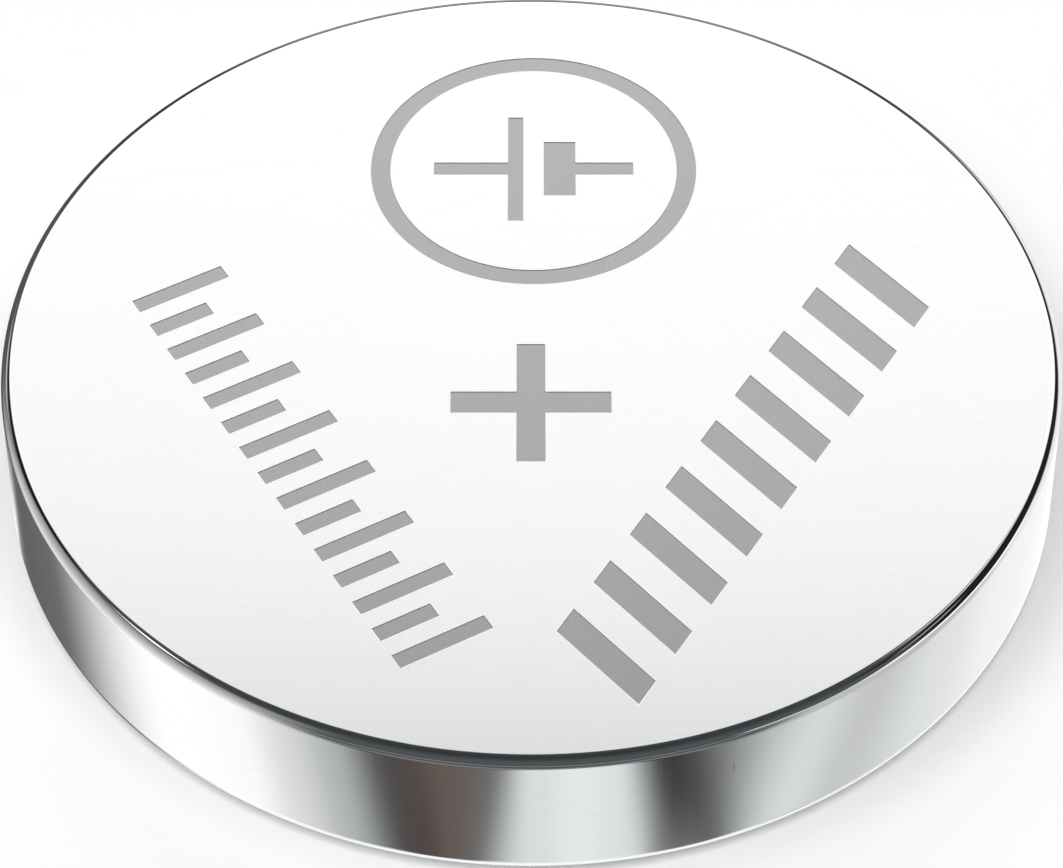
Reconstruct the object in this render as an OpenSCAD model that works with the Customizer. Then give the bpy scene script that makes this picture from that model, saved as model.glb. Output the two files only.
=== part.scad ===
// Lithium coin cell, positive face up, resting on its negative cap.
// Every piece is a revolve of a half section drawn in X (radius) and Y (height).
// Heights are measured up from the negative contact face at zero, in millimetres.

/* [Cell] */
// Outside diameter of the cell
cell_d = 20; // [18:0.1:25]
// Height over both contact faces
cell_h = 3.2; // [2.8:0.05:6]

/* [Can] */
// Sheet thickness of the can
can_t = 0.25; // [0.2:0.01:0.3]
// Outer radius between the positive face and the wall
can_corner_r = 0.2; // [0.1:0.01:0.3]
// Inner radius between the can's floor and its wall
can_floor_r = 0.1; // [0.05:0.01:0.2]
// Distance from the negative face up to the lowest point of the crimp
crimp_set = 0.1; // [0.05:0.01:0.25]
// Inner radius of the crimp bend
crimp_r = 0.05; // [0.03:0.01:0.1]
// Angle that the crimp bend turns through
crimp_angle = 96; // [90:1:102]
// Length of the straight lip past the crimp bend
crimp_lip = 0.8; // [0.7:0.05:1.1]
// Rounding of the lip's outer edge
crimp_edge_r = 0.08; // [0.03:0.01:0.15]

/* [Gasket] */
// Wall of the gasket between the cap and the can
gasket_t = 0.25; // [0.2:0.01:0.35]
// Thickness of the gasket under the cap's folded edge
gasket_base_t = 0.4; // [0.25:0.05:0.6]
// Thickness of the inner lip that grips the cap's skirt
gasket_lip_t = 0.25; // [0.15:0.01:0.35]
// Height of the inner lip past the top of the fold
gasket_lip_h = 0.5; // [0.3:0.05:0.8]
// Width of the bead that shows between the crimp and the cap
bead_w = 0.36; // [0.25:0.01:0.45]
// Distance from the negative face up to the bead
bead_set = 0.12; // [0.05:0.01:0.25]

/* [Cap] */
// Sheet thickness of the cap
cap_t = 0.25; // [0.2:0.01:0.3]
// Inner radius of the cap's bends
cap_bend_r = 0.1; // [0.05:0.01:0.12]
// Gap left inside the folded edge
fold_gap = 0.05; // [0.02:0.01:0.1]
// Distance from the shoulder bend to the cut edge of the fold
fold_set = 0.1; // [0.05:0.05:0.4]

/* [Anode and separator] */
// Thickness of the lithium disc
anode_t = 0.6; // [0.4:0.05:0.9]
// Radial gap between the lithium disc and the cap
anode_gap = 0.2; // [0.05:0.05:0.6]
// Rounding of the lithium disc's edge
anode_edge_r = 0.1; // [0.05:0.05:0.3]
// Thickness of the separator sheet
separator_t = 0.15; // [0.08:0.01:0.25]
// Inner radius of the separator cup's corner
separator_bend_r = 0.1; // [0.05:0.05:0.3]
// Radial clearance between the separator cup and the gasket's inner lip
separator_fit = 0.05; // [0.02:0.01:0.15]
// Distance from the separator's rim to the can's floor
separator_set = 0.5; // [0.2:0.05:0.9]

/* [Cathode] */
// Radial gap between the cathode ring and the separator cup
cathode_gap = 0.3; // [0.1:0.05:0.6]
// Sheet thickness of the cathode ring
ring_t = 0.15; // [0.1:0.01:0.2]
// Width of the cathode ring's flange on the can's floor
ring_flange = 1; // [0.5:0.1:2]
// Distance from the cathode ring's free edge to the separator
ring_set = 0.6; // [0.3:0.05:1]
// Chamfer on the pellet's free edge
pellet_chamfer = 0.15; // [0.05:0.05:0.3]

/* [Hidden] */

turn_fn = 120;
arc_fn = 32;

cell_r = cell_d / 2;
can_in_r = cell_r - can_t;
can_floor_z = cell_h - can_t;

// Crimp: the bend's centre, and the lip's slope and free end
crimp_out_r = crimp_r + can_t;
crimp_x = cell_r - crimp_out_r;
crimp_z = crimp_set + crimp_out_r;
lip_slope = crimp_angle - 90;
mouth_r = crimp_x - crimp_lip * cos(lip_slope) - crimp_out_r * sin(lip_slope);

// Cap: raised face inside the bead, shoulder under the crimp, skirt inside the gasket
face_r = mouth_r - bead_w;
shoulder_z = crimp_set + can_t + gasket_t;
cap_out_r = cap_bend_r + cap_t;
fold_out_r = cap_t + fold_gap / 2;
hem_r = can_in_r - gasket_t;
skirt_r = hem_r - cap_t - fold_gap;
skirt_in_r = skirt_r - cap_t;
fold_x = hem_r - fold_out_r;
fold_z = can_floor_z - gasket_base_t - fold_out_r;
hem_edge_z = shoulder_z + cap_out_r + fold_set;

// Gasket: the bead's centre and the inner lip
bead_r = bead_w / 2;
bead_z = bead_set + bead_r;
lip_in_r = skirt_in_r - gasket_lip_t;
lip_edge_z = fold_z + fold_out_r - gasket_lip_h;

// Inner pieces, stacked between the cap's face and the can's floor
anode_r = face_r - cap_t - anode_gap;
separator_r = lip_in_r - separator_fit;
separator_z = max(cap_t + anode_t, shoulder_z + cap_t);
separator_rim_z = can_floor_z - separator_set;
pellet_z = separator_z + separator_t;
ring_r = separator_r - separator_t - cathode_gap;
ring_edge_z = pellet_z + ring_set;
pellet_r = ring_r - ring_t;

// Area between a square corner at the origin and the arc that is tangent to both sides.
// Taken from a corner it rounds it, and added to an inside corner it fills it.
module spandrel(r, turn) {
    rotate(turn)
        difference() {
            square(r);
            translate([r, r]) circle(r, $fn = arc_fn);
        }
}

// Rectangle from the axis out to radius r, between two heights
module disc_area(r, low, high) {
    translate([0, low]) square([r, high - low]);
}

module revolve() {
    rotate_extrude($fn = turn_fn) children();
}

// Axes at the crimp bend's centre, with X pointing down through the lip's sheet
module at_lip() {
    translate([crimp_x, crimp_z]) rotate(-crimp_angle) children();
}

module crimp_bend_section() {
    intersection() {
        translate([crimp_x, crimp_z])
            difference() {
                circle(crimp_out_r, $fn = arc_fn);
                circle(crimp_r, $fn = arc_fn);
            }
        union() {
            translate([crimp_x, crimp_z]) rotate(-90) square(cell_h);
            at_lip() square(cell_h);
        }
    }
}

module crimp_lip_section() {
    at_lip()
        difference() {
            translate([crimp_r, -crimp_lip]) square([can_t, crimp_lip]);
            translate([crimp_out_r, -crimp_lip]) spandrel(crimp_edge_r, 90);
        }
}

module can_section() {
    difference() {
        disc_area(cell_r, crimp_z, cell_h);
        translate([cell_r, cell_h]) spandrel(can_corner_r, 180);
        difference() {
            disc_area(can_in_r, crimp_z, can_floor_z);
            translate([can_in_r, can_floor_z]) spandrel(can_floor_r, 180);
        }
    }
    crimp_bend_section();
    crimp_lip_section();
}

// Everything inside the cap's outer surface, filled to the axis
module cap_outline() {
    difference() {
        disc_area(face_r, 0, fold_z);
        translate([face_r, 0]) spandrel(cap_out_r, 90);
    }
    translate([face_r, shoulder_z]) spandrel(cap_bend_r, 270);
    difference() {
        disc_area(skirt_r, shoulder_z, fold_z);
        translate([skirt_r, shoulder_z]) spandrel(cap_out_r, 90);
    }
    disc_area(hem_r, hem_edge_z, fold_z);
    translate([fold_x, fold_z]) circle(fold_out_r, $fn = arc_fn);
}

// The space inside the cap, with the sheet's bends following the outline's
module cap_hollow() {
    difference() {
        disc_area(face_r - cap_t, cap_t, can_floor_z);
        translate([face_r - cap_t, cap_t]) spandrel(cap_bend_r, 90);
    }
    translate([face_r - cap_t, shoulder_z + cap_t]) spandrel(cap_out_r, 270);
    difference() {
        disc_area(skirt_in_r, shoulder_z + cap_t, can_floor_z);
        translate([skirt_in_r, shoulder_z + cap_t]) spandrel(cap_bend_r, 90);
    }
}

module fold_slit() {
    translate([skirt_r, 0]) square([fold_gap, fold_z]);
    translate([fold_x, fold_z]) circle(fold_gap / 2, $fn = arc_fn);
}

module cap_section() {
    difference() {
        cap_outline();
        cap_hollow();
        intersection() {
            fold_slit();
            disc_area(hem_r, hem_edge_z, can_floor_z);
        }
    }
}

// The gasket fills what the can and the cap leave between them
module gasket_section() {
    difference() {
        union() {
            translate([face_r + bead_r, bead_z]) circle(bead_r, $fn = arc_fn);
            translate([face_r, bead_z]) square([can_in_r - face_r, fold_z - bead_z]);
            translate([lip_in_r, fold_z])
                square([can_in_r - lip_in_r, can_floor_z - fold_z]);
        }
        cap_outline();
        can_section();
        at_lip() translate([crimp_r, -crimp_lip]) square([cell_h, crimp_lip + crimp_out_r]);
    }
    translate([lip_in_r, lip_edge_z]) square([gasket_lip_t, fold_z - lip_edge_z]);
}

module separator_section() {
    difference() {
        disc_area(separator_r, separator_z, separator_rim_z);
        translate([separator_r, separator_z]) spandrel(separator_bend_r + separator_t, 90);
        difference() {
            disc_area(separator_r - separator_t, pellet_z, separator_rim_z);
            translate([separator_r - separator_t, pellet_z]) spandrel(separator_bend_r, 90);
        }
    }
}

module ring_section() {
    difference() {
        translate([pellet_r - ring_flange, ring_edge_z])
            square([ring_flange + ring_t, can_floor_z - ring_edge_z]);
        disc_area(pellet_r, ring_edge_z, can_floor_z - ring_t);
        translate([ring_r, can_floor_z]) spandrel(ring_t, 180);
    }
}

module pellet_section() {
    difference() {
        disc_area(pellet_r, pellet_z, can_floor_z);
        ring_section();
        translate([pellet_r, pellet_z]) rotate(45) square(pellet_chamfer * sqrt(2), center = true);
    }
}

module anode_section() {
    difference() {
        disc_area(anode_r, cap_t, cap_t + anode_t);
        translate([anode_r, cap_t + anode_t]) spandrel(anode_edge_r, 180);
    }
}

// Drawn steel cup with the positive face, crimped in round the negative side
module positive_can() {
    color([0.84, 0.86, 0.87]) revolve() can_section();
}

// Moulded sealing ring that also insulates the cap from the can
module gasket() {
    color([0.16, 0.17, 0.18]) revolve() gasket_section();
}

// Drawn steel cap with the negative face and a folded edge
module negative_cap() {
    color([0.76, 0.77, 0.78]) revolve() cap_section();
}

// Porous cup that parts the electrodes
module separator() {
    color([0.95, 0.95, 0.92]) revolve() separator_section();
}

// Current collector round the pellet
module cathode_ring() {
    color([0.70, 0.71, 0.72]) revolve() ring_section();
}

// Pressed cathode mix, seated on the can's floor
module cathode_pellet() {
    color([0.13, 0.13, 0.14]) revolve() pellet_section();
}

// Anode foil pressed on the cap's inner face
module lithium_disc() {
    color([0.62, 0.64, 0.66]) revolve() anode_section();
}

positive_can();
gasket();
negative_cap();
separator();
cathode_ring();
cathode_pellet();
lithium_disc();
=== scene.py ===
import math

import bmesh
import bpy
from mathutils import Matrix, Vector
from mathutils.geometry import delaunay_2d_cdt


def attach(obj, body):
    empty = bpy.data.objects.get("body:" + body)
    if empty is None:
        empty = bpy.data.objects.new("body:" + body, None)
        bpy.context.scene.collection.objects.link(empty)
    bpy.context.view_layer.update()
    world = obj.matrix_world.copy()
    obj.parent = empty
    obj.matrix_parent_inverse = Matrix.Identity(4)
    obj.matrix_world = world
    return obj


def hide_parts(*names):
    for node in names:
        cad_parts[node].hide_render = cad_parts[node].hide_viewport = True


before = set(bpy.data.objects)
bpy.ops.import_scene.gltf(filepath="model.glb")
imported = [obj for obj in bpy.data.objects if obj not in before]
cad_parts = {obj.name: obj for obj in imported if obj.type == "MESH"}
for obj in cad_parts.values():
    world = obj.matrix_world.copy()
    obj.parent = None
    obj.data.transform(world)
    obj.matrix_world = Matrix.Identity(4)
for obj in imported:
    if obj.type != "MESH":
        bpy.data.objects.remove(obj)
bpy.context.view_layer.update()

MM = 0.001
TURN_STEPS = 360
RING_STEPS = 144
# Degrees between the points of a bend
ARC_STEP = 5.0
# Edges sharper than this are shaded as edges
SHARP_ANGLE = math.radians(25)
# Distance from a bend of the extra point that keeps the flat beside it flat in shading
HOLD = 0.01
# Points closer than this are one point: in millimetres, and in metres in a finished mesh
TOUCH = 1e-6
WELD = 1e-8

# Driving sizes in millimetres, the same as those of the solids in the frame
CELL_R = 10.0
CELL_H = 3.2
# Thickness of the can's and the cap's sheet
SHEET = 0.25
# Can: outer corner of its face, inner corner of its floor, height of the crimp's lowest
# point, inner radius and angle of the crimp's bend, the lip past it and the lip's edge
CORNER_R = 0.2
CAN_FLOOR_R = 0.1
CRIMP_SET = 0.1
CRIMP_R = 0.05
CRIMP_ANGLE = 96.0
LIP_LENGTH = 0.8
LIP_EDGE_R = 0.08
# Gasket: its wall, its base over the cap's fold, the thickness and height of its inner lip,
# and the radius of its bead and how far that lies above the negative face
SEAL_WALL = 0.25
SEAL_BASE = 0.4
SEAL_LIP = 0.25
SEAL_LIP_H = 0.5
BEAD_R = 0.18
BEAD_SET = 0.12
# Cap: inner radius of its bends, gap in its fold, and the fold's edge above the shoulder bend
CAP_BEND_R = 0.1
FOLD_GAP = 0.05
FOLD_SET = 0.1

# Can: its floor, its inner wall, the crimp bend and the mouth
CAN_FLOOR_Z = CELL_H - SHEET
CAN_IN_R = CELL_R - SHEET
CRIMP_OUT_R = CRIMP_R + SHEET
CRIMP_X = CELL_R - CRIMP_OUT_R
CRIMP_Z = CRIMP_SET + CRIMP_OUT_R
LIP_SLOPE = math.radians(CRIMP_ANGLE - 90)
MOUTH_R = CRIMP_X - LIP_LENGTH * math.cos(LIP_SLOPE) - CRIMP_OUT_R * math.sin(LIP_SLOPE)

# Cap: its face, shoulder, skirt and folded hem
CAP_FACE_R = MOUTH_R - 2 * BEAD_R
CAP_OUT_R = CAP_BEND_R + SHEET
SHOULDER_Z = CRIMP_SET + SHEET + SEAL_WALL
FOLD_OUT_R = SHEET + FOLD_GAP / 2
HEM_R = CAN_IN_R - SEAL_WALL
SKIRT_R = HEM_R - SHEET - FOLD_GAP
FOLD_X = HEM_R - FOLD_OUT_R
FOLD_Z = CAN_FLOOR_Z - SEAL_BASE - FOLD_OUT_R
HEM_EDGE_Z = SHOULDER_Z + CAP_OUT_R + FOLD_SET

# Gasket: its bead and its inner lip
BEAD_X = CAP_FACE_R + BEAD_R
BEAD_Z = BEAD_SET + BEAD_R
SEAL_LIP_OUT_R = SKIRT_R - SHEET
SEAL_LIP_IN_R = SEAL_LIP_OUT_R - SEAL_LIP
SEAL_LIP_Z = FOLD_Z + FOLD_OUT_R - SEAL_LIP_H
# The bead stops this far short of the mouth, and meets the lip's cut edge this far from the
# lip's inner face
BEAD_STOP = 0.001
BEAD_MEETS = 0.12
# The gasket's side on the cap starts this far above the bead's centre
BEAD_NECK = 0.1

# Marks on the positive face: how deep, how wide their painted highlight, then their places and
# sizes
MARK_DEPTH = 0.012
# Width of the band round each mark that is painted bright: a painted highlight for the glint of its
# edge
GLINT_BAND = 0.024
PLUS_CENTRE = (-0.01, -1.32)
PLUS_LENGTH, PLUS_STROKE = 3.01, 0.54
RING_CENTRE = (0.04, 4.96)
RING_OUT_R, RING_IN_R = 3.18, 2.80
# Cell symbol, (start, width, height): a lead, the long bar, the short thick bar, a lead
SYMBOL = [(-1.95, 1.45, 0.34), (-0.5, 0.30, 2.9), (0.2, 0.62, 1.5), (0.82, 1.13, 0.34)]
TICKS, TICK_START, TICK_STEP, TICK_WIDTH = 15, -4.95, 0.73, 0.34
TICK_BASE, TICK_HEIGHTS, TICK_TURN = -5.93, (1.9, 1.2), -60
BARS, BAR_START, BAR_STEP, BAR_WIDTH = 9, -6.55, 1.34, 0.62
BAR_BASE, BAR_HEIGHT, BAR_SLANT, BAR_TURN = -5.97, 2.1, 0.75, 60

# A nick on the wall: its place (distance round from the front towards +X, and height), the
# half size where it is halfway to gone, and the softness of its edges
NICK_PLACE = (3.67, 2.28)
NICK_HALF = (0.0135, 0.099)
NICK_SOFT = (0.009, 0.022)

# Camera, fitted to the outline of the cell in the photograph: its distance from the middle
# of the cell and its lens in millimetres, its elevation and its downward tilt in degrees
CAMERA_DISTANCE = 93.28
CAMERA_ELEVATION = 46.75
CAMERA_DOWN = 47.04
CAMERA_LENS = 165.3

# Floor: flat out to a cove that turns up into a low backdrop
FLOOR_COLOUR = (0.95, 0.955, 0.96)
FLOOR_FIBRE = 0.006
FLOOR_FLAT_R, COVE_R, BACKDROP_H = 620, 120, 220


# Section paths: lists of (radius, height) points in millimetres

def arc(centre, radius, start, end):
    """Points round the centre from one angle to another, in degrees."""
    steps = max(2, round(abs(end - start) / ARC_STEP))
    points = []
    for i in range(steps + 1):
        a = math.radians(start + (end - start) * i / steps)
        points.append((centre[0] + radius * math.cos(a), centre[1] + radius * math.sin(a)))
    return points


def with_holds(points, closed):
    """The same path with an extra point near each end of its long straight runs."""
    held = []
    count = len(points)
    for i, p in enumerate(points):
        held.append(p)
        if i == count - 1 and not closed:
            break
        q = points[(i + 1) % count]
        length = math.dist(p, q)
        if length > 6 * HOLD:
            for along in (HOLD, length - HOLD):
                t = along / length
                held.append((p[0] + (q[0] - p[0]) * t, p[1] + (q[1] - p[1]) * t))
    return held


def lip_point(across, along):
    """A point in the crimped lip's own axes: across its sheet, and along it towards the wall."""
    a = math.radians(-CRIMP_ANGLE)
    return (CRIMP_X + across * math.cos(a) - along * math.sin(a),
            CRIMP_Z + across * math.sin(a) + along * math.cos(a))


def can_path():
    """From the edge of the flat face, down the wall, round the crimp and back to the axis."""
    path = [(CELL_R - CORNER_R - HOLD, CELL_H)]
    path += arc((CELL_R - CORNER_R, CELL_H - CORNER_R), CORNER_R, 90, 0)
    path += arc((CRIMP_X, CRIMP_Z), CRIMP_OUT_R, 0, -CRIMP_ANGLE)
    edge = arc((CRIMP_OUT_R - LIP_EDGE_R, LIP_EDGE_R - LIP_LENGTH), LIP_EDGE_R, 0, -90)
    path += [lip_point(x, y) for x, y in edge]
    path.append(lip_point(CRIMP_R, -LIP_LENGTH))
    path += arc((CRIMP_X, CRIMP_Z), CRIMP_R, -CRIMP_ANGLE, 0)
    path += arc((CAN_IN_R - CAN_FLOOR_R, CAN_FLOOR_Z - CAN_FLOOR_R), CAN_FLOOR_R, 0, 90)
    path.append((0, CAN_FLOOR_Z))
    return with_holds(path, False)


def cap_outside_path():
    """Outer surface of the cap, from the flat face up to the skirt."""
    path = arc((CAP_FACE_R - CAP_OUT_R, CAP_OUT_R), CAP_OUT_R, -90, 0)
    path += arc((CAP_FACE_R + CAP_BEND_R, SHOULDER_Z - CAP_BEND_R), CAP_BEND_R, 180, 90)
    path += arc((SKIRT_R - CAP_OUT_R, SHOULDER_Z + CAP_OUT_R), CAP_OUT_R, -90, 0)
    return path


def cap_path():
    """Along the outside and up the skirt, over the fold to its cut edge, and back inside."""
    path = [(0, 0)] + cap_outside_path()
    path += arc((FOLD_X, FOLD_Z), FOLD_GAP / 2, 180, 0)
    path += [(SKIRT_R + FOLD_GAP, HEM_EDGE_Z), (HEM_R, HEM_EDGE_Z)]
    path += arc((FOLD_X, FOLD_Z), FOLD_OUT_R, 0, 180)
    path += arc((SKIRT_R - CAP_OUT_R, SHOULDER_Z + CAP_OUT_R), CAP_BEND_R, 0, -90)
    path += arc((CAP_FACE_R + CAP_BEND_R, SHOULDER_Z - CAP_BEND_R), CAP_OUT_R, 90, 180)
    path += arc((CAP_FACE_R - CAP_OUT_R, CAP_OUT_R), CAP_BEND_R, 0, -90)
    path.append((0, SHEET))
    return with_holds(path, False)


def gasket_path():
    """A closed section: the bead, the can side, the top, the inner lip and the cap side."""
    bead = arc((BEAD_X, BEAD_Z), BEAD_R, 180, 360)
    path = [p for p in bead if p[0] < MOUTH_R - BEAD_STOP]
    path.append(lip_point(CRIMP_R + BEAD_MEETS, -LIP_LENGTH))
    path.append(lip_point(CRIMP_R, -LIP_LENGTH))
    path += arc((CRIMP_X, CRIMP_Z), CRIMP_R, -CRIMP_ANGLE, 0)
    path += arc((CAN_IN_R - CAN_FLOOR_R, CAN_FLOOR_Z - CAN_FLOOR_R), CAN_FLOOR_R, 0, 90)
    path += [(SEAL_LIP_IN_R, CAN_FLOOR_Z), (SEAL_LIP_IN_R, SEAL_LIP_Z),
             (SEAL_LIP_OUT_R, SEAL_LIP_Z)]
    path += arc((FOLD_X, FOLD_Z), FOLD_OUT_R, 180, 0)
    path += [(HEM_R, HEM_EDGE_Z), (SKIRT_R, HEM_EDGE_Z)]
    cap_side = [p for p in cap_outside_path() if p[1] > BEAD_Z + BEAD_NECK]
    path += reversed(cap_side)
    return with_holds(path, True)


# Meshes

def add_revolve(bm, path, closed=False, material=0):
    """Turns the path round the Z axis; a point on the axis becomes one vertex."""
    rings = []
    for r, z in path:
        if r < TOUCH:
            rings.append([bm.verts.new((0, 0, z * MM))] * TURN_STEPS)
            continue
        ring = []
        for i in range(TURN_STEPS):
            a = math.tau * i / TURN_STEPS
            ring.append(bm.verts.new((r * math.cos(a) * MM, r * math.sin(a) * MM, z * MM)))
        rings.append(ring)
    pairs = list(zip(rings, rings[1:]))
    if closed:
        pairs.append((rings[-1], rings[0]))
    for low, high in pairs:
        for i in range(TURN_STEPS):
            j = (i + 1) % TURN_STEPS
            corners = list(dict.fromkeys([low[i], low[j], high[j], high[i]]))
            face = bm.faces.new(corners)
            face.smooth = True
            face.material_index = material


def piece_from(bm, name, materials):
    """Welds and shades the mesh and puts it in the scene as one object."""
    bmesh.ops.remove_doubles(bm, verts=bm.verts[:], dist=WELD)
    bmesh.ops.recalc_face_normals(bm, faces=bm.faces[:])
    for edge in bm.edges:
        if len(edge.link_faces) == 2 and edge.calc_face_angle(0) > SHARP_ANGLE:
            edge.smooth = False
    mesh = bpy.data.meshes.new(name)
    bm.to_mesh(mesh)
    bm.free()
    for made in materials:
        mesh.materials.append(made)
    piece = bpy.data.objects.new(name, mesh)
    bpy.context.scene.collection.objects.link(piece)
    return piece


def circle(centre, radius, steps):
    return [(centre[0] + radius * math.cos(math.tau * i / steps),
             centre[1] + radius * math.sin(math.tau * i / steps)) for i in range(steps)]


def bar_outline(x, y, width, height, grow, slant=0.0):
    """Four corners of an upright bar from its lower left corner, leaning by slant at the top."""
    side = grow * math.hypot(slant, height) / height
    left, right, low, high = x - side, x + width + side, y - grow, y + height + grow
    lean = slant * grow / height
    return [(left - lean, low), (right - lean, low),
            (right + slant + lean, high), (left + slant + lean, high)]


def turned(outline, degrees):
    """The outline turned about the cell's axis."""
    c, s = math.cos(math.radians(degrees)), math.sin(math.radians(degrees))
    return [(x * c - y * s, x * s + y * c) for x, y in outline]


def plus_outline(centre, length, stroke):
    a, b = length / 2, stroke / 2
    corners = [(b, b), (b, a), (-b, a), (-b, b), (-a, b), (-a, -b),
               (-b, -b), (-b, -a), (b, -a), (b, -b), (a, -b), (a, b)]
    return [(centre[0] + x, centre[1] + y) for x, y in corners]


def mark_outlines(grow):
    """Closed outlines on the positive face, each wider by grow on every side.

    An area inside an odd number of them is marked.
    """
    outlines = [plus_outline(PLUS_CENTRE, PLUS_LENGTH + 2 * grow, PLUS_STROKE + 2 * grow),
                circle(RING_CENTRE, RING_OUT_R + grow, RING_STEPS),
                circle(RING_CENTRE, RING_IN_R - grow, RING_STEPS)]
    for start, width, height in SYMBOL:
        x, y = RING_CENTRE[0] + start, RING_CENTRE[1] - height / 2
        outlines.append(bar_outline(x, y, width, height, grow))
    # Graduated row on the left: long and short ticks in turn on a common line
    for i in range(TICKS):
        x = TICK_START + i * TICK_STEP
        tick = bar_outline(x, TICK_BASE, TICK_WIDTH, TICK_HEIGHTS[i % 2], grow)
        outlines.append(turned(tick, TICK_TURN))
    # Row of bold slanted bars on the right
    for i in range(BARS):
        x = BAR_START + i * BAR_STEP
        bar = bar_outline(x, BAR_BASE, BAR_WIDTH, BAR_HEIGHT, grow, BAR_SLANT)
        outlines.append(turned(bar, BAR_TURN))
    return outlines


def add_marked_face(bm, radius, face_slot, mark_slot, glint_slot):
    """The flat positive face, with the marks cut in by MARK_DEPTH inside a band of painted
    highlight.

    An area's owners are the numbers of the loops round it, marks first and then highlight bands.
    """
    marks, glint_loops = mark_outlines(0.0), mark_outlines(GLINT_BAND)
    loops = marks + glint_loops + [circle((0, 0), radius, TURN_STEPS)]
    points, polygons = [], []
    for loop in loops:
        polygons.append(list(range(len(points), len(points) + len(loop))))
        points += [Vector(p) for p in loop]
    flat, _, triangles, _, _, owners = delaunay_2d_cdt(points, [], polygons, 1, TOUCH)
    mark_ids = range(len(marks))
    glint_ids = range(len(marks), len(marks) + len(glint_loops))
    marked = [sum(i in mark_ids for i in ids) % 2 == 1 for ids in owners]
    glinted = [sum(i in glint_ids for i in ids) % 2 == 1 for ids in owners]
    made = {}

    def vertex(index, low):
        key = (index, low)
        if key not in made:
            z = CELL_H - (MARK_DEPTH if low else 0)
            made[key] = bm.verts.new((flat[index][0] * MM, flat[index][1] * MM, z * MM))
        return made[key]

    sides = {}
    for corners, low, bright in zip(triangles, marked, glinted):
        face = bm.faces.new([vertex(i, low) for i in corners])
        # The band round each mark takes the painted highlight
        face.material_index = mark_slot if low else glint_slot if bright else face_slot
        for a, b in zip(corners, list(corners[1:]) + [corners[0]]):
            sides.setdefault((min(a, b), max(a, b)), []).append(low)
    for (a, b), levels in sides.items():
        if len(levels) == 2 and levels[0] != levels[1]:
            wall = [vertex(a, False), vertex(b, False), vertex(b, True), vertex(a, True)]
            bm.faces.new(wall).material_index = mark_slot


# Node helpers

# Each row of hairline cells is shifted along by up to this many cells
ROW_SHIFT = 50


def node(tree, kind, inputs=None, **settings):
    """A new node, with each input linked to a socket or set to a value."""
    made = tree.nodes.new(kind)
    for key, value in settings.items():
        setattr(made, key, value)
    for key, value in (inputs or {}).items():
        if isinstance(value, bpy.types.NodeSocket):
            tree.links.new(value, made.inputs[key])
        else:
            made.inputs[key].default_value = value
    return made


def calc(tree, operation, *values):
    made = node(tree, "ShaderNodeMath", dict(enumerate(values)), operation=operation)
    return made.outputs[0]


def ranged(tree, value, low, high, to_low, to_high, smooth=True):
    """The value mapped from one range to another and held at its ends."""
    made = node(tree, "ShaderNodeMapRange",
                {"Value": value, "From Min": low, "From Max": high,
                 "To Min": to_low, "To Max": to_high},
                interpolation_type="SMOOTHSTEP" if smooth else "LINEAR")
    return made.outputs[0]


def soft_span(tree, offset, half, softness):
    """1 near zero, fading to 0 on either side over an edge of this softness at half."""
    distance = calc(tree, "ABSOLUTE", offset)
    return ranged(tree, distance, half - softness / 2, half + softness / 2, 1, 0)


def mixed(tree, factor, a, b):
    """Colour a, going to colour b as the factor goes from 0 to 1."""
    made = node(tree, "ShaderNodeMix", data_type="RGBA")
    for socket, value in ((made.inputs[0], factor), (made.inputs[6], a), (made.inputs[7], b)):
        if isinstance(value, bpy.types.NodeSocket):
            tree.links.new(value, socket)
        else:
            socket.default_value = value
    return made.outputs[2]


def rgba(*colour):
    """An opaque colour from three strengths, or a grey from one."""
    if len(colour) == 1:
        colour = colour * 3
    return (*colour, 1.0)


def ramp(tree, factor, stops):
    """A colour ramp with eased stops, each a position and the strengths there."""
    made = node(tree, "ShaderNodeValToRGB", {"Fac": factor})
    made.color_ramp.interpolation = "EASE"
    elements = made.color_ramp.elements
    while len(elements) < len(stops):
        elements.new(0.5)
    for element, (position, colour) in zip(elements, stops):
        element.position = position
        element.color = rgba(*colour)
    return made.outputs[0]


def noise(tree, vector, scale, detail=2.0, roughness=0.5, distortion=0.0):
    made = node(tree, "ShaderNodeTexNoise",
                {"Vector": vector, "Scale": scale, "Detail": detail,
                 "Roughness": roughness, "Distortion": distortion})
    return made.outputs[0]


def mm_coordinates(tree):
    """Object coordinates in millimetres."""
    place = node(tree, "ShaderNodeTexCoord").outputs["Object"]
    return node(tree, "ShaderNodeVectorMath", {0: place, "Scale": 1 / MM},
                operation="SCALE").outputs[0]


def wall_coordinates(tree, place):
    """Distance round the wall from the front, towards +X, and height, in millimetres."""
    x, y, z = node(tree, "ShaderNodeSeparateXYZ", {0: place}).outputs
    angle = calc(tree, "ARCTAN2", x, calc(tree, "MULTIPLY", y, -1.0))
    around = calc(tree, "MULTIPLY", angle, CELL_R)
    return node(tree, "ShaderNodeCombineXYZ", {0: around, 1: z}).outputs[0]


def stretched(tree, vector, degrees, along, across, shift):
    """Coordinates turned and drawn out for grain, and shifted so that no two uses match."""
    turned_to = node(tree, "ShaderNodeMapping",
                     {"Vector": vector, "Rotation": (0, 0, math.radians(degrees)),
                      "Location": (shift, shift * 0.7, 0)}).outputs[0]
    return node(tree, "ShaderNodeVectorMath", {0: turned_to, 1: (along, across, 1)},
                operation="MULTIPLY").outputs[0]


def bent(tree, vector, amount):
    """Coordinates that drift gently, so that long lines curve."""
    drift = node(tree, "ShaderNodeTexNoise",
                 {"Vector": vector, "Scale": 0.12, "Detail": 0.0}).outputs["Color"]
    return node(tree, "ShaderNodeVectorMath", {0: drift, 1: (amount, amount, 0), 2: vector},
                operation="MULTIPLY_ADD").outputs[0]


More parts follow.
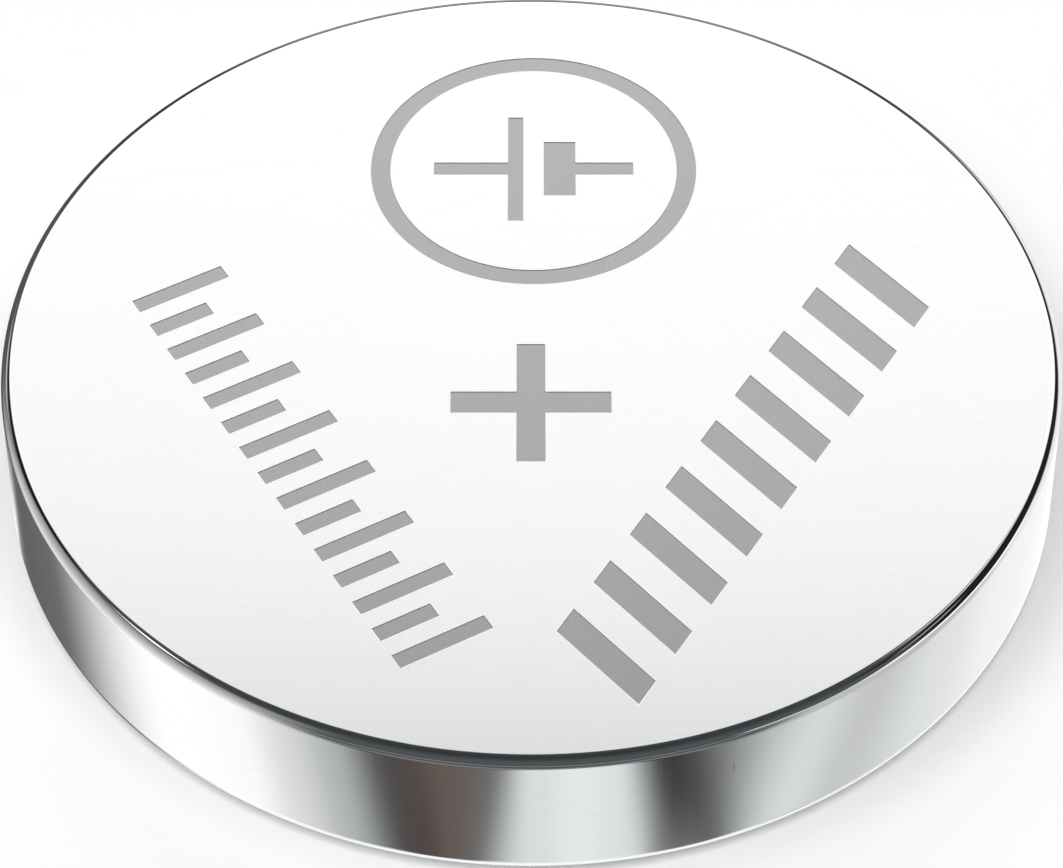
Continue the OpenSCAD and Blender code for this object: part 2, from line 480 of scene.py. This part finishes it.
def hairlines(tree, vector, degrees, width, length, share):
    """Thin lines in one direction: a small share of long narrow cells, from faint to full."""
    turned_to = node(tree, "ShaderNodeMapping",
                     {"Vector": vector, "Rotation": (0, 0, math.radians(degrees))}).outputs[0]
    along, across, _ = node(tree, "ShaderNodeSeparateXYZ", {0: turned_to}).outputs
    row = calc(tree, "FLOOR", calc(tree, "DIVIDE", across, width))
    offset = node(tree, "ShaderNodeTexWhiteNoise", {"W": row}, noise_dimensions="1D").outputs[0]
    shift = calc(tree, "MULTIPLY", offset, ROW_SHIFT)
    run = calc(tree, "ADD", calc(tree, "DIVIDE", along, length), shift)
    cell = node(tree, "ShaderNodeCombineXYZ", {0: row, 1: calc(tree, "FLOOR", run)}).outputs[0]
    pick = node(tree, "ShaderNodeTexWhiteNoise", {"Vector": cell}, noise_dimensions="2D").outputs[0]
    depth = ranged(tree, pick, 1 - share, 1.0, 0.0, 1.0, False)
    from_middle = calc(tree, "ABSOLUTE", calc(tree, "SUBTRACT", calc(tree, "FRACT", run), 0.5))
    return calc(tree, "MULTIPLY", depth, ranged(tree, from_middle, 0.1, 0.5, 1.0, 0.0))


def scratch_set(tree, vector, width, share, lines):
    """Hairlines of several (direction in degrees, length in mm), the strongest one shown."""
    total = None
    for degrees, length in lines:
        line = hairlines(tree, vector, degrees, width, length, share)
        total = line if total is None else calc(tree, "MAXIMUM", total, line)
    return total


def nick(tree, around):
    """One short upright mark on the wall, full along its middle and gone at its edges."""
    sockets = node(tree, "ShaderNodeSeparateXYZ", {0: around}).outputs
    spans = [soft_span(tree, calc(tree, "SUBTRACT", socket, place), half, soft)
             for socket, place, half, soft in zip(sockets, NICK_PLACE, NICK_HALF, NICK_SOFT)]
    return calc(tree, "MULTIPLY", *spans)


def material(name):
    """A new material with an empty tree, and the tree."""
    made = bpy.data.materials.new(name)
    made.use_nodes = True
    made.node_tree.nodes.clear()
    return made, made.node_tree


def finish_material(tree, inputs, heights):
    """Ends a tree in a Principled BSDF; heights are (socket, depth in metres) bumps."""
    normal = None
    for height, depth in heights:
        bump = {"Height": height, "Distance": depth, "Strength": 1.0}
        if normal is not None:
            bump["Normal"] = normal
        normal = node(tree, "ShaderNodeBump", bump).outputs[0]
    if normal is not None:
        inputs = {**inputs, "Normal": normal}
    shader = node(tree, "ShaderNodeBsdfPrincipled", inputs)
    node(tree, "ShaderNodeOutputMaterial", {"Surface": shader.outputs[0]})


def face_steel():
    """Bright satin face: a fine wavy grain and sparse hairlines in several directions."""
    made, tree = material("face_steel")
    place = mm_coordinates(tree)
    grain = noise(tree, stretched(tree, place, 8, 3.0, 9.0, 3), 1.0, 2.0, 0.6)
    lines = scratch_set(tree, bent(tree, place, 2.0), 0.02, 0.018,
                        [(12, 7), (-31, 5), (58, 6), (-4, 9)])
    tone = mixed(tree, grain, rgba(0.90, 0.908, 0.92), rgba(0.94, 0.947, 0.957))
    tone = mixed(tree, calc(tree, "MULTIPLY", lines, 0.3), tone, rgba(0.74))
    rough = ranged(tree, grain, 0.3, 0.7, 0.14, 0.16, False)
    finish_material(tree, {"Base Color": tone, "Metallic": 0.7, "Roughness": rough},
                    [(grain, 4e-8)])
    return made


def wall_steel():
    """Polished wall and corner, with faint drawing lines and a few hairlines."""
    made, tree = material("wall_steel")
    place = mm_coordinates(tree)
    around = wall_coordinates(tree, place)
    drawn = noise(tree, stretched(tree, around, 90, 0.15, 9.0, 2), 1.0, 2.0, 0.6)
    lines = scratch_set(tree, bent(tree, around, 1.0), 0.018, 0.006,
                        [(38, 1.6), (-27, 2.0), (-35, 1.4)])
    tone = mixed(tree, drawn, rgba(0.92, 0.925, 0.925), rgba(0.94, 0.945, 0.945))
    tone = mixed(tree, calc(tree, "MULTIPLY", lines, 0.4), tone, rgba(0.70))
    tone = mixed(tree, nick(tree, around), tone, rgba(0.66))
    rough = ranged(tree, drawn, 0.3, 0.7, 0.055, 0.07, False)
    finish_material(tree, {"Base Color": tone, "Metallic": 1.0, "Roughness": rough},
                    [(drawn, 3e-8)])
    return made


def marked_steel():
    """Etched grey of the marks, finely grained and a little uneven."""
    made, tree = material("marked_steel")
    place = mm_coordinates(tree)
    fine = noise(tree, place, 12.0, 3.0, 0.7)
    broad = noise(tree, place, 0.4, 1.0)
    tone = mixed(tree, fine, rgba(0.47), rgba(0.50))
    tone = mixed(tree, ranged(tree, broad, 0.3, 0.7, 0.0, 0.12), tone, rgba(0.53))
    finish_material(tree, {"Base Color": tone, "Metallic": 0.85, "Roughness": 0.25},
                    [(fine, 2e-7)])
    return made


def painted_glint_steel():
    """Thin band round each mark, painted bright as a highlight for the glint of its edge."""
    made, tree = material("painted_glint_steel")
    place = mm_coordinates(tree)
    fine = noise(tree, place, 10.0, 2.0, 0.6)
    tone = mixed(tree, fine, rgba(0.94, 0.945, 0.95), rgba(0.97, 0.975, 0.98))
    finish_material(tree, {"Base Color": tone, "Metallic": 0.3, "Roughness": 0.22}, [(fine, 5e-8)])
    return made


def cap_steel():
    """Satin cap with a fine even pebble from blasting and a few hairlines."""
    made, tree = material("cap_steel")
    place = mm_coordinates(tree)
    pebble = noise(tree, place, 9.0, 2.0, 0.5)
    lines = scratch_set(tree, bent(tree, place, 2.0), 0.03, 0.01, [(24, 5), (-52, 4), (80, 4)])
    tone = mixed(tree, pebble, rgba(0.74, 0.75, 0.76), rgba(0.80, 0.81, 0.82))
    rough = calc(tree, "ADD", ranged(tree, pebble, 0.3, 0.7, 0.26, 0.34, False),
                 calc(tree, "MULTIPLY", lines, 0.1))
    finish_material(tree, {"Base Color": tone, "Metallic": 1.0, "Roughness": rough},
                    [(pebble, 3e-6), (lines, -5e-7)])
    return made


def seal_plastic():
    """Dark moulded plastic of the gasket, finely mottled."""
    made, tree = material("seal_plastic")
    place = mm_coordinates(tree)
    fine = noise(tree, place, 14.0, 3.0, 0.6)
    tone = mixed(tree, fine, rgba(0.022, 0.024, 0.026), rgba(0.034, 0.036, 0.039))
    rough = ranged(tree, fine, 0.3, 0.7, 0.42, 0.55, False)
    finish_material(tree, {"Base Color": tone, "Roughness": rough}, [(fine, 2e-6)])
    return made


def separator_cloth():
    """White non-woven sheet with short crossing fibres."""
    made, tree = material("separator_cloth")
    place = mm_coordinates(tree)
    fibres = None
    for degrees, shift in ((15, 1), (70, 4), (-40, 8)):
        strand = noise(tree, stretched(tree, place, degrees, 1.2, 14.0, shift), 1.0, 2.0)
        fibres = strand if fibres is None else calc(tree, "MAXIMUM", fibres, strand)
    tone = mixed(tree, ranged(tree, fibres, 0.4, 0.8, 0, 1), rgba(0.82, 0.82, 0.79),
                 rgba(0.92, 0.92, 0.89))
    finish_material(tree, {"Base Color": tone, "Roughness": 0.85}, [(fibres, 1.2e-5)])
    return made


def ring_steel():
    """Drawn steel ring with fine turned lines."""
    made, tree = material("ring_steel")
    place = mm_coordinates(tree)
    around = wall_coordinates(tree, place)
    lines = noise(tree, stretched(tree, around, 0, 0.1, 20.0, 2), 1.0, 3.0, 0.6)
    tone = mixed(tree, lines, rgba(0.68, 0.69, 0.70), rgba(0.74, 0.75, 0.76))
    rough = ranged(tree, lines, 0.3, 0.7, 0.22, 0.34, False)
    finish_material(tree, {"Base Color": tone, "Metallic": 1.0, "Roughness": rough},
                    [(lines, 8e-7)])
    return made


def cathode_mix():
    """Pressed black powder with fine grains and small bright specks."""
    made, tree = material("cathode_mix")
    place = mm_coordinates(tree)
    grains = node(tree, "ShaderNodeTexVoronoi", {"Vector": place, "Scale": 14.0}).outputs[0]
    fine = noise(tree, place, 20.0, 3.0, 0.7)
    tone = mixed(tree, fine, rgba(0.018, 0.018, 0.019), rgba(0.055, 0.055, 0.058))
    speck = ranged(tree, grains, 0.0, 0.12, 0.35, 0.0)
    tone = mixed(tree, speck, tone, rgba(0.16, 0.16, 0.165))
    finish_material(tree, {"Base Color": tone, "Roughness": 0.78}, [(fine, 6e-6), (grains, 4e-6)])
    return made


def lithium_foil():
    """Soft rolled lithium, dull silver with rolling lines and patches of dark film."""
    made, tree = material("lithium_foil")
    place = mm_coordinates(tree)
    rolled = noise(tree, stretched(tree, place, 4, 0.1, 8.0, 5), 1.0, 3.0, 0.6)
    film = noise(tree, place, 0.5, 4.0, 0.6, 0.5)
    tone = mixed(tree, rolled, rgba(0.60, 0.62, 0.64), rgba(0.70, 0.72, 0.74))
    tone = mixed(tree, ranged(tree, film, 0.5, 0.75, 0.0, 0.5), tone, rgba(0.36, 0.37, 0.40))
    rough = ranged(tree, film, 0.35, 0.75, 0.32, 0.55, False)
    finish_material(tree, {"Base Color": tone, "Metallic": 1.0, "Roughness": rough},
                    [(rolled, 1.5e-6)])
    return made


# The cell

def make_can():
    """The can turned from its section, with its marked face as a flat disc."""
    bm = bmesh.new()
    add_revolve(bm, can_path(), material=1)
    # Slot 3 paints a highlight in the band round each mark
    add_marked_face(bm, CELL_R - CORNER_R - HOLD, 0, 2, 3)
    return piece_from(bm, "can_shell", [face_steel(), wall_steel(), marked_steel(), painted_glint_steel()])


def make_turned(name, path, closed, made):
    bm = bmesh.new()
    add_revolve(bm, path, closed)
    return piece_from(bm, name, [made])


def place_piece(piece, node_name):
    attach(piece, "root")
    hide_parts(node_name)


def dress_node(node_name, made):
    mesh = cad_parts[node_name].data
    mesh.materials.clear()
    mesh.materials.append(made)


place_piece(make_can(), "positive_can")
seal_ring = make_turned("seal_ring", gasket_path(), True, seal_plastic())
place_piece(seal_ring, "gasket")
cap_shell = make_turned("cap_shell", cap_path(), False, cap_steel())
place_piece(cap_shell, "negative_cap")
dress_node("separator", separator_cloth())
dress_node("cathode_ring", ring_steel())
dress_node("cathode_pellet", cathode_mix())
dress_node("lithium_disc", lithium_foil())


# The studio: what the steel reflects, by direction. Azimuth 0 faces the camera's side and
# grows towards +X; elevation is up from the horizon. Both are in degrees.

# Ring of cards below the horizon, which the wall reflects: azimuths and strengths
LOWER_RING = [
    (-180, (1.0,)), (-176, (0.28, 0.29, 0.29)), (-169, (0.76,)), (-161, (0.25, 0.265, 0.26)),
    (-150, (0.12, 0.128, 0.125)), (-130, (0.14, 0.148, 0.146)), (-87, (1.08,)),
    (-66, (1.03,)), (-54, (0.73,)), (-43, (0.47, 0.49, 0.50)), (-31, (0.07, 0.068, 0.067)),
    (-25, (0.085, 0.066, 0.06)), (-18, (0.14, 0.108, 0.098)), (-11, (0.145, 0.142, 0.138)),
    (0, (0.72, 0.77, 0.77)), (11, (0.83, 0.86, 0.86)), (19.5, (0.76, 0.79, 0.79)),
    (32, (0.03, 0.032, 0.034)), (35, (0.035, 0.038, 0.04)), (62, (0.75, 0.77, 0.78)),
    (75, (0.575, 0.585, 0.59)), (97, (0.75, 0.77, 0.78)), (128, (0.94,)), (150, (1.02,)),
    (160, (1.7,)), (170, (1.7,)), (178, (1.3,)),
]
# Elevations over which the ring fades out, into the room above it and the card below it
CARDS_TOP, CARDS_BOTTOM = (-44, -38), (-66, -58)
BOTTOM_CARD = 1.0

# The ring's cards lean about a line at LEAN_MIDDLE that rises with the azimuth squared, and
# do so up to LEAN_REACH from it. Their lean, in degrees of azimuth to one of elevation, starts
# at LEAN_START and goes on in steps: from azimuth, to azimuth, change.
LEAN_MIDDLE, LEAN_CURVE, LEAN_REACH = -51.5, 1.5e-4, 1.5
LEAN_START = -4.7
LEAN_STEPS = [(-26, -11, 8.2), (-10, 4, -3.5), (12, 28, -4.7), (30, 65, 12.9)]

# Panels laid over the room and the ring, in order: name, centre azimuth and elevation, half
# width and half height, softness across and up, and strength at the lower and upper edge
PANELS = [
    ("rail", 15, -34, 55, 8, 10, 10, 0.21, 0.21),
    ("horizon", 0, -3, 52, 1.8, 30, 1.5, 0.38, 0.38),
    ("left", -85, 3, 38, 46, 24, 14, 0.90, 0.24),
    ("right", 80, -16, 32, 32, 14, 6, 0.52, 0.56),
    ("far_right", 134, -20, 38, 28, 26, 14, 0.95, 0.85),
    ("right_flag", 125, 36, 45, 22, 10, 8, 0.015, 0.015),
    ("right_edge", 86, 10.5, 21, 4.5, 14, 3, 1.30, 1.30),
    ("right_line", 95, 46, 9, 2, 6, 2, 0.60, 0.60),
    ("right_strip", 150, 55, 6, 4, 4, 4, 0.85, 0.85),
    ("back_flag", 180, 0, 24, 34, 14, 8, 0.05, 0.05),
    ("back", 174.5, 41, 28.5, 9.8, 8, 6, 1.30, 0.98),
    ("back_centre", 180, 41, 10, 9.8, 20, 6, 1.34, 1.04),
    ("left_flag", -140, 44, 14, 9, 5, 5, 0.01, 0.01),
    ("strip", -110, 57, 10, 3, 3, 3, 1.50, 1.50),
    ("left_fill", -136, 24, 6, 4, 8, 5, 0.62, 0.62),
    ("right_fill", 45, 14, 6, 4, 6, 4, 0.80, 0.80),
    ("back_fill", 180, 5, 12, 4, 8, 3, 0.90, 0.90),
    ("low_card", 34, -54.4, 7, 2.6, 8, 1.2, 0.26, 0.26),
    ("left_low", -170, -49.7, 10, 2.3, 8, 1.4, 1.10, 1.10),
]
ROOM = (0.08, 0.088, 0.092)
CEILING = (0.035, 0.038, 0.04)
CEILING_FADE = (35, 85)


def ring_light(tree, azimuth, elevation):
    """Light of the ring's cards. They lean, so that their edges cross the wall at a slant."""
    squared = calc(tree, "MULTIPLY", azimuth, azimuth)
    middle = calc(tree, "MULTIPLY_ADD", squared, LEAN_CURVE, LEAN_MIDDLE)
    above = ranged(tree, calc(tree, "SUBTRACT", elevation, middle),
                   -LEAN_REACH, LEAN_REACH, -LEAN_REACH, LEAN_REACH, False)
    lean = LEAN_START
    for start, end, change in LEAN_STEPS:
        lean = calc(tree, "ADD", lean, ranged(tree, azimuth, start, end, 0, change))
    around = calc(tree, "SUBTRACT", azimuth, calc(tree, "MULTIPLY", above, lean))
    stops = [((position + 180) / 360, strengths) for position, strengths in LOWER_RING]
    return ramp(tree, ranged(tree, around, -180, 180, 0, 1, False), stops)


def with_panel(tree, light, azimuth, elevation, panel):
    """The light with one soft-edged panel laid over it."""
    _, across, up, half_wide, half_high, soft_across, soft_up, low, high = panel
    off = calc(tree, "SUBTRACT", azimuth, across)
    if abs(across) + half_wide + soft_across > 180:
        off = calc(tree, "WRAP", off, 180, -180)
    rise = calc(tree, "SUBTRACT", elevation, up)
    inside = calc(tree, "MULTIPLY", soft_span(tree, off, half_wide, soft_across),
                  soft_span(tree, rise, half_high, soft_up))
    strength = rgba(low)
    if low != high:
        share = ranged(tree, rise, -half_high, half_high, 0, 1, False)
        strength = mixed(tree, share, rgba(low), rgba(high))
    return mixed(tree, inside, light, strength)


def make_world():
    """The room, its ceiling, the ring, the card below it, and the panels, as one background."""
    world = bpy.data.worlds.new("studio")
    bpy.context.scene.world = world
    world.use_nodes = True
    world.cycles.sampling_method = "NONE"
    tree = world.node_tree
    tree.nodes.clear()
    direction = node(tree, "ShaderNodeTexCoord").outputs["Generated"]
    x, y, z = node(tree, "ShaderNodeSeparateXYZ", {0: direction}).outputs
    azimuth = calc(tree, "DEGREES", calc(tree, "ARCTAN2", x, calc(tree, "MULTIPLY", y, -1.0)))
    elevation = calc(tree, "DEGREES", calc(tree, "ARCSINE", z))
    ceiling = ranged(tree, elevation, *CEILING_FADE, 0, 1)
    light = mixed(tree, ceiling, rgba(*ROOM), rgba(*CEILING))
    ring = ring_light(tree, azimuth, elevation)
    light = mixed(tree, ranged(tree, elevation, *CARDS_TOP, 1, 0), light, ring)
    light = mixed(tree, ranged(tree, elevation, *CARDS_BOTTOM, 1, 0), light, rgba(BOTTOM_CARD))
    for panel in PANELS:
        light = with_panel(tree, light, azimuth, elevation, panel)
    shader = node(tree, "ShaderNodeBackground", {"Color": light, "Strength": 1.0})
    node(tree, "ShaderNodeOutputWorld", {"Surface": shader.outputs[0]})


def make_floor():
    """A pale floor that turns up into a low backdrop all round."""
    bm = bmesh.new()
    cove = arc((FLOOR_FLAT_R, COVE_R), COVE_R, -90, 0)
    path = [(0, 0), (FLOOR_FLAT_R, 0)] + cove + [(FLOOR_FLAT_R + COVE_R, BACKDROP_H)]
    add_revolve(bm, path)
    made, tree = material("floor_paper")
    place = mm_coordinates(tree)
    fibre = noise(tree, place, 0.8, 3.0)
    darker = [c - FLOOR_FIBRE for c in FLOOR_COLOUR]
    tone = mixed(tree, fibre, rgba(*darker), rgba(*FLOOR_COLOUR))
    shader = node(tree, "ShaderNodeBsdfDiffuse", {"Color": tone})
    node(tree, "ShaderNodeOutputMaterial", {"Surface": shader.outputs[0]})
    floor = piece_from(bm, "floor", [made])
    # The steel reflects the studio's cards, which in the photograph stand under the cell too
    floor.visible_glossy = False


def make_lamp(name, azimuth, elevation, strength, angle):
    """A sun from a direction in the studio's angles, softened by its own angle."""
    lamp = bpy.data.lights.new(name, "SUN")
    lamp.energy = strength
    lamp.angle = math.radians(angle)
    holder = bpy.data.objects.new(name, lamp)
    a, e = math.radians(azimuth), math.radians(elevation)
    back = Vector((math.sin(a) * math.cos(e), -math.cos(a) * math.cos(e), math.sin(e)))
    holder.rotation_mode = "QUATERNION"
    holder.rotation_quaternion = back.to_track_quat("Z", "Y")
    holder.visible_glossy = False
    bpy.context.scene.collection.objects.link(holder)


def make_camera():
    """The camera, looking down at the cell from the front."""
    camera = bpy.data.cameras.new("camera")
    camera.sensor_width = 36
    camera.lens = CAMERA_LENS
    camera.clip_start = 0.005
    camera.clip_end = 10
    holder = bpy.data.objects.new("camera", camera)
    e = math.radians(CAMERA_ELEVATION)
    holder.location = (0, -CAMERA_DISTANCE * math.cos(e) * MM,
                       (CELL_H / 2 + CAMERA_DISTANCE * math.sin(e)) * MM)
    holder.rotation_euler = (math.radians(90 - CAMERA_DOWN), 0, 0)
    bpy.context.scene.collection.objects.link(holder)
    bpy.context.scene.camera = holder


make_world()
make_floor()
make_lamp("key", azimuth=-15, elevation=72, strength=2.78, angle=60)
make_camera()
bpy.context.scene.view_settings.view_transform = "Standard"
